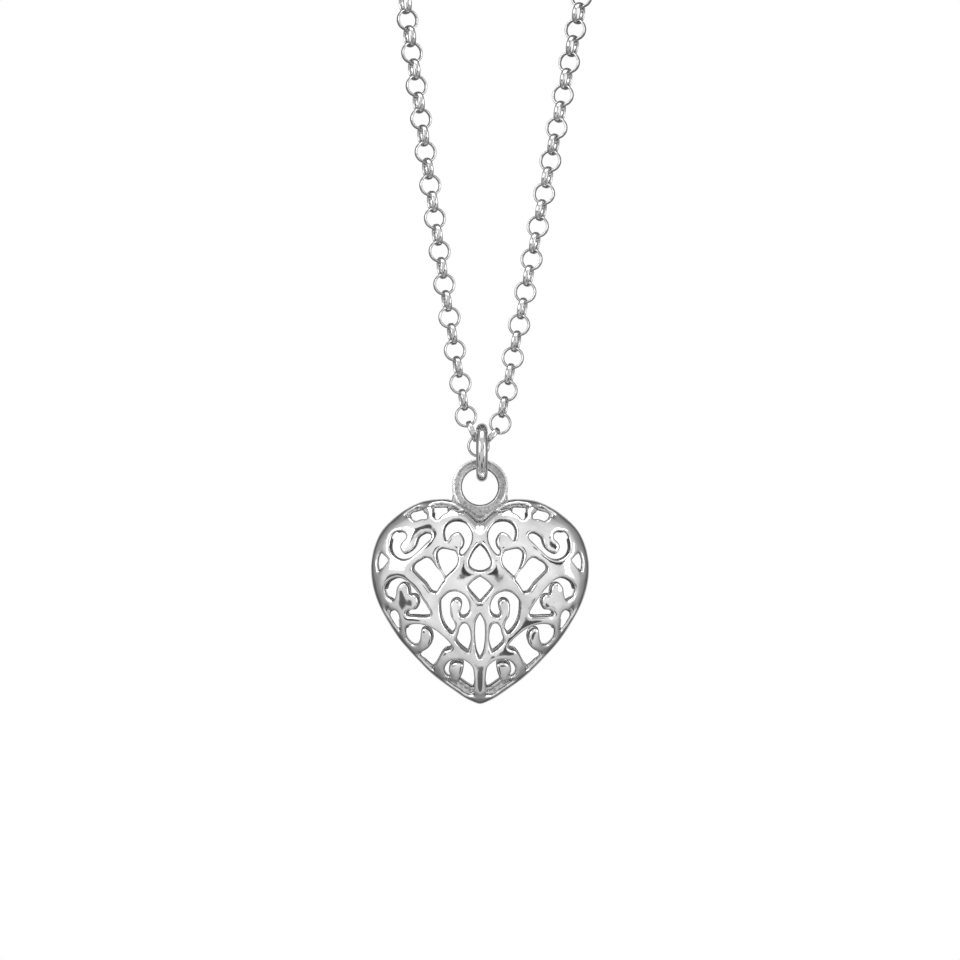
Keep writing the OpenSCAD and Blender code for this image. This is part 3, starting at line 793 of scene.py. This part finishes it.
def tube_with_slot():
    ro, ri = CLASP_TUBE / 2, BORE / 2
    half = math.degrees(math.asin(0.18 / ro))
    bs = [half, half + 6] + list(np.linspace(half + 14, 360 - half - 14, 22)) + [360 - half - 6, 360 - half]
    slot_b = list(bs)                              # round the tube, from one lip of the slot to the other
    cap_b = list(np.linspace(-half, half, 5))[1:-1]
    alls = slot_b + [360 + b for b in cap_b]        # the last ones close the tube where there is no slot
    first, last = MOUTH_B, 360 + MOUTH_A
    stations = [first, first + 0.8, first + 2.0] + list(np.arange(first + 5, SLOT_A - 0.5, 3)) + [SLOT_A] \
        + list(np.linspace(SLOT_A, SLOT_B, 22))[1:] + list(np.linspace(SLOT_B, last - 2.0, 66))[1:] + [last - 0.8, last]
    verts, faces, index = [], [], {}

    def shrink(a):
        d = min(a - first, last - a)
        return 1.0 if d >= 2.0 else (0.97 if d >= 0.79 else 0.9)

    def vert(i, k, layer):
        key = (i, k, layer)
        if key not in index:
            a, b = math.radians(stations[i]), math.radians(alls[k])
            r = ro * shrink(stations[i]) if layer == 0 else ri
            if layer == 0:
                r *= 1 + 0.03 * (math.exp(-((stations[i] - first - 4) / 2.2) ** 2) + math.exp(-((last - 4 - stations[i]) / 2.2) ** 2))
            index[key] = len(verts)
            verts.append(((CLASP_R + r * math.cos(b)) * math.cos(a), (CLASP_R + r * math.cos(b)) * math.sin(a), r * math.sin(b)))
        return index[key]

    n = len(alls)

    def solid(i, k):
        """Is the cell from station i to i + 1, round step k to k + 1, there?"""
        open_here = SLOT_A - 1e-6 <= stations[i] and stations[i + 1] <= SLOT_B + 1e-6
        return not (open_here and k >= len(slot_b) - 1)

    for i in range(len(stations) - 1):
        for k in range(n):
            if not solid(i, k):
                continue
            j = (k + 1) % n
            faces.append((vert(i, k, 0), vert(i + 1, k, 0), vert(i + 1, j, 0), vert(i, j, 0)))
            faces.append((vert(i, j, 1), vert(i + 1, j, 1), vert(i + 1, k, 1), vert(i, k, 1)))
            for (di, k1, k2, other) in ((0, j, k, i - 1), (1, k, j, i + 1)):
                gone = other < 0 or other > len(stations) - 2 or not solid(other, k)
                if gone:
                    s = i + di
                    faces.append((vert(s, k1, 0), vert(s, k2, 0), vert(s, k2, 1), vert(s, k1, 1)))
            if not solid(i, (k - 1) % n):
                faces.append((vert(i + 1, k, 0), vert(i, k, 0), vert(i, k, 1), vert(i + 1, k, 1)))
            if not solid(i, (k + 1) % n):
                faces.append((vert(i, j, 0), vert(i + 1, j, 0), vert(i + 1, j, 1), vert(i, j, 1)))
    return np.array(verts), faces


v, f = tube_with_slot()
v = moved(v, at_clasp)
piece("clasp_tube", v, flip_out(v, f), "chain_top", clasp_silver, ("clasp_body",))


def rounded_arc(big, r, a0, a1, n):
    """Round bar along an arc, with round ends."""
    rows = []
    cap = math.degrees(r / big)
    for t in np.linspace(0, 90, 6):
        rows.append((a0 + cap * (1 - math.sin(math.radians(t))) * 1.0 - 0.0, r * math.sin(math.radians(max(t, 12)))))
    rows = [(a0 + cap * (1 - math.cos(math.radians(t))), r * math.sin(math.radians(max(t, 10)))) for t in np.linspace(0, 90, 6)]
    rows += [(a, r) for a in np.linspace(a0 + cap, a1 - cap, n)[1:-1]]
    rows += [(a1 - cap * (1 - math.cos(math.radians(t))), r * math.sin(math.radians(max(t, 10)))) for t in np.linspace(90, 0, 6)]
    verts, faces, m = [], [], 20
    for a, q in rows:
        ar = math.radians(a)
        for k in range(m):
            b = 2 * math.pi * k / m
            verts.append(((big + q * math.cos(b)) * math.cos(ar), (big + q * math.cos(b)) * math.sin(ar), q * math.sin(b)))
    for i in range(len(rows) - 1):
        for k in range(m):
            n2 = (k + 1) % m
            faces.append((i * m + k, (i + 1) * m + k, (i + 1) * m + n2, i * m + n2))
    faces.append(tuple(range(m)))
    faces.append(tuple(reversed([(len(rows) - 1) * m + k for k in range(m)])))
    v = np.array(verts)
    return v, flip_out(v, faces)


def lathe(profile, n, m):
    """profile: (radius, height) from the bottom pole to the top pole, turned round Z."""
    verts, faces = [], []
    for r, h in profile:
        for k in range(n):
            a = 2 * math.pi * k / n
            verts.append((r * math.cos(a), r * math.sin(a), h))
    for i in range(len(profile) - 1):
        for k in range(n):
            j = (k + 1) % n
            faces.append((i * n + k, i * n + j, (i + 1) * n + j, (i + 1) * n + k))
    faces.append(tuple(reversed(range(n))))
    faces.append(tuple((len(profile) - 1) * n + k for k in range(n)))
    v = moved(np.array(verts), m)
    return v, flip_out(v, faces)


bar = rounded_arc(CLASP_R, 0.33, MOUTH_A - 8, 45, 40)
stem_frame = rot("Z", 26) @ move(CLASP_R, 0, 0) @ rot("Y", 90)
stem = lathe([(0.15, 0.0), (0.15, 0.55), (0.14, 0.7), (0.15, 0.85)], 24, stem_frame)
knob_profile = [(0.03, 0.80), (0.14, 0.81), (0.2, 0.84), (0.22, 0.88), (0.2, 0.91), (0.25, 0.94), (0.29, 1.0), (0.3, 1.08),
                (0.3, 1.14), (0.28, 1.22), (0.23, 1.3), (0.16, 1.36), (0.08, 1.395), (0.02, 1.4)]
knob = lathe(knob_profile, 32, stem_frame)
v, f = join([bar, stem, knob])
piece("clasp_trigger_bolt", moved(v, at_clasp), f, "bolt", clasp_silver, ("clasp_bolt",))

# spring behind the bolt
SP_FROM, SP_TO, SP_TURNS = 46.0, 177.0, 14


def spring_mesh():
    pts = []
    n = SP_TURNS * 22
    for i in range(n + 1):
        t = i / n
        a = math.radians(SP_FROM + (SP_TO - SP_FROM) * t)
        b = 2 * math.pi * SP_TURNS * t
        r = CLASP_R + 0.26 * math.cos(b)
        pts.append(Vector((r * math.cos(a), r * math.sin(a), 0.26 * math.sin(b))))
    verts, faces, m = [], [], 8
    for i, p in enumerate(pts):
        d = (pts[min(i + 1, n)] - pts[max(i - 1, 0)]).normalized()
        a = math.radians(SP_FROM + (SP_TO - SP_FROM) * i / n)
        x = d.cross(Vector((math.cos(a), math.sin(a), 0))).normalized()
        y = d.cross(x)
        for k in range(m):
            c = 2 * math.pi * k / m
            verts.append(tuple(p + x * 0.055 * math.cos(c) + y * 0.055 * math.sin(c)))
    for i in range(n):
        for k in range(m):
            j = (k + 1) % m
            faces.append((i * m + k, (i + 1) * m + k, (i + 1) * m + j, i * m + j))
    faces.append(tuple(range(m)))
    faces.append(tuple(reversed([n * m + k for k in range(m)])))
    v = np.array(verts)
    return v, flip_out(v, faces)


v, f = spring_mesh()
piece("clasp_coil_spring", moved(v, at_clasp), f, "chain_top", steel, ("clasp_spring",))

# the eye that the chain is linked to, with rounded edges
eye_section = [(-0.215, 0.22), (-0.215, -0.22), (-0.19, -0.27), (-0.13, -0.3), (0.13, -0.3), (0.19, -0.27), (0.215, -0.22),
               (0.215, 0.22), (0.19, 0.27), (0.13, 0.3), (-0.13, 0.3), (-0.19, 0.27)]
v, f = ring_mesh(eye_section, 0.635, 48)
v = moved(v, move(CLASP_X - 3.5, 0, CLASP_Z) @ rot("X", 90))
piece("clasp_link_eye", v, flip_out(v, f), "chain_top", clasp_silver, ("clasp_eye",))


# ------------------------------------------------------------------ camera, stage and light
FIELD = 0.096            # width that the photo's frame covers at the heart's middle depth
DISTANCE = 0.36
cam_data = bpy.data.cameras.new("camera")
cam_data.sensor_width = 36.0
cam_data.lens = 36.0 * DISTANCE / FIELD
cam_data.clip_start, cam_data.clip_end = 0.01, 20
camera = bpy.data.objects.new("camera", cam_data)
scene.collection.objects.link(camera)
camera.location = (-1.34 * MM, -DISTANCE, -51.0 * MM)
camera.rotation_euler = (math.radians(90), 0, 0)
scene.camera = camera
scene.view_settings.view_transform = "Standard"
scene.view_settings.look = "None"

# a round pale table well below the heart, out of the camera's view
floor_me = bpy.data.meshes.new("floor")
ring_n = 96
floor_v = [(0.0, 0.0, -0.2)] + [(0.34 * math.cos(2 * math.pi * k / ring_n), 0.34 * math.sin(2 * math.pi * k / ring_n), -0.2)
                                  for k in range(ring_n)]
floor_me.from_pydata(floor_v, [], [(0, k + 1, (k + 1) % ring_n + 1) for k in range(ring_n)])
floor = bpy.data.objects.new("floor", floor_me)
scene.collection.objects.link(floor)
floor_mat = bpy.data.materials.new("floor_white")
nt, bsdf = nodes_of(floor_mat)
bsdf.inputs["Base Color"].default_value = (0.9, 0.9, 0.9, 1)
bsdf.inputs["Roughness"].default_value = 0.8
bsdf.inputs["Emission Color"].default_value = (1, 1, 1, 1)
bsdf.inputs["Emission Strength"].default_value = 0.32
floor_me.materials.append(floor_mat)
floor.visible_glossy = False

# the studio: white all round, with darker panels beside the object for the metal to mirror
world = bpy.data.worlds.new("studio")
scene.world = world
world.use_nodes = True
wn = world.node_tree
wn.nodes.clear()
w_out = wn.nodes.new("ShaderNodeOutputWorld")
tc = wn.nodes.new("ShaderNodeTexCoord")
sep = wn.nodes.new("ShaderNodeSeparateXYZ")
wn.links.new(tc.outputs["Generated"], sep.inputs[0])


def world_ramp(source, stops):
    m = wn.nodes.new("ShaderNodeMapRange")
    wn.links.new(source, m.inputs["Value"])
    m.inputs["From Min"].default_value = -1
    m.inputs["From Max"].default_value = 1
    r = wn.nodes.new("ShaderNodeValToRGB")
    r.color_ramp.interpolation = "EASE"
    e = r.color_ramp.elements
    while len(e) > 1:
        e.remove(e[-1])
    e[0].position, e[0].color = (stops[0][0] + 1) / 2, (stops[0][1],) * 3 + (1,)
    for pos, val in stops[1:]:
        s = e.new((pos + 1) / 2)
        s.color = (val,) * 3 + (1,)
    wn.links.new(m.outputs[0], r.inputs[0])
    return r.outputs[0]


def times(a, b):
    m = wn.nodes.new("ShaderNodeMath")
    m.operation = "MULTIPLY"
    wn.links.new(a, m.inputs[0])
    if isinstance(b, bpy.types.NodeSocket):
        wn.links.new(b, m.inputs[1])
    else:
        m.inputs[1].default_value = b
    return m.outputs[0]


def card(x, y, z, inner, outer, tone):
    """A round dark card in direction x, y, z. inner and outer are cosines where it is full and gone."""
    n = Vector((x, y, z)).normalized()
    dot = wn.nodes.new("ShaderNodeVectorMath")
    dot.operation = "DOT_PRODUCT"
    wn.links.new(tc.outputs["Generated"], dot.inputs[0])
    dot.inputs[1].default_value = n
    m = wn.nodes.new("ShaderNodeMapRange")
    m.interpolation_type = "SMOOTHSTEP"
    wn.links.new(dot.outputs["Value"], m.inputs["Value"])
    m.inputs["From Min"].default_value = outer
    m.inputs["From Max"].default_value = inner
    m.inputs["To Min"].default_value = 1.0
    m.inputs["To Max"].default_value = tone
    return m.outputs[0]


# front to back: bright behind the camera, grey beside the object, a dark ring beyond it, which draws its outlines
depth_tone = world_ramp(sep.outputs["Y"], [(-1.0, 0.88), (-0.75, 0.88), (-0.5, 0.82), (-0.25, 0.68), (0.0, 0.42), (0.3, 0.3),
                                           (0.55, 0.14), (0.74, 0.12), (0.88, 0.55), (1.0, 0.8)])
height_tone = world_ramp(sep.outputs["Z"], [(-1.0, 0.58), (-0.6, 0.73), (-0.25, 0.85), (0.0, 0.91), (0.3, 0.93), (1.0, 0.9)])
patch = wn.nodes.new("ShaderNodeTexNoise")
patch.inputs["Scale"].default_value = 3.1
patch.inputs["Detail"].default_value = 1.0
wn.links.new(tc.outputs["Generated"], patch.inputs["Vector"])
patch_tone = world_ramp(patch.outputs["Fac"], [(-1.0, 0.5), (-0.2, 0.55), (0.02, 1.0), (1.0, 1.1)])
mixed = times(times(depth_tone, height_tone), patch_tone)
for c in ((0.0, -1.0, 0.16, 0.997, 0.990, 0.05), (0.62, -0.75, 0.35, 0.992, 0.985, 0.06), (-0.45, -0.75, 0.62, 0.994, 0.985, 0.1),
          (-0.7, -0.6, -0.3, 0.99, 0.975, 0.15), (0.5, -0.8, -0.5, 0.99, 0.975, 0.12), (0.0, -0.6, -0.8, 0.98, 0.95, 0.2)):
    mixed = times(mixed, card(*c))
bg_light = wn.nodes.new("ShaderNodeBackground")
wn.links.new(mixed, bg_light.inputs["Color"])
bg_light.inputs["Strength"].default_value = 1.1
bg_seen = wn.nodes.new("ShaderNodeBackground")
bg_seen.inputs["Color"].default_value = (1, 1, 1, 1)
bg_seen.inputs["Strength"].default_value = 1.0
lp_node = wn.nodes.new("ShaderNodeLightPath")
w_mix = wn.nodes.new("ShaderNodeMixShader")
wn.links.new(lp_node.outputs["Is Camera Ray"], w_mix.inputs[0])
wn.links.new(bg_light.outputs[0], w_mix.inputs[1])
wn.links.new(bg_seen.outputs[0], w_mix.inputs[2])
wn.links.new(w_mix.outputs[0], w_out.inputs["Surface"])


def softbox(name, place, aim, size, power):
    data = bpy.data.lights.new(name, "AREA")
    data.shape = "RECTANGLE"
    data.size, data.size_y = size
    data.energy = power
    ob = bpy.data.objects.new(name, data)
    scene.collection.objects.link(ob)
    ob.location = place
    ob.rotation_euler = (Vector(aim) - Vector(place)).to_track_quat("-Z", "Y").to_euler()
    return ob


softbox("softbox_left", (-0.35, -0.30, 0.12), (0, 0, -0.05), (0.16, 0.30), 0.55)
softbox("softbox_right", (0.38, -0.26, 0.02), (0, 0, -0.05), (0.10, 0.34), 0.4)
softbox("softbox_top", (0.0, -0.10, 0.36), (0, 0, -0.05), (0.30, 0.20), 0.6)
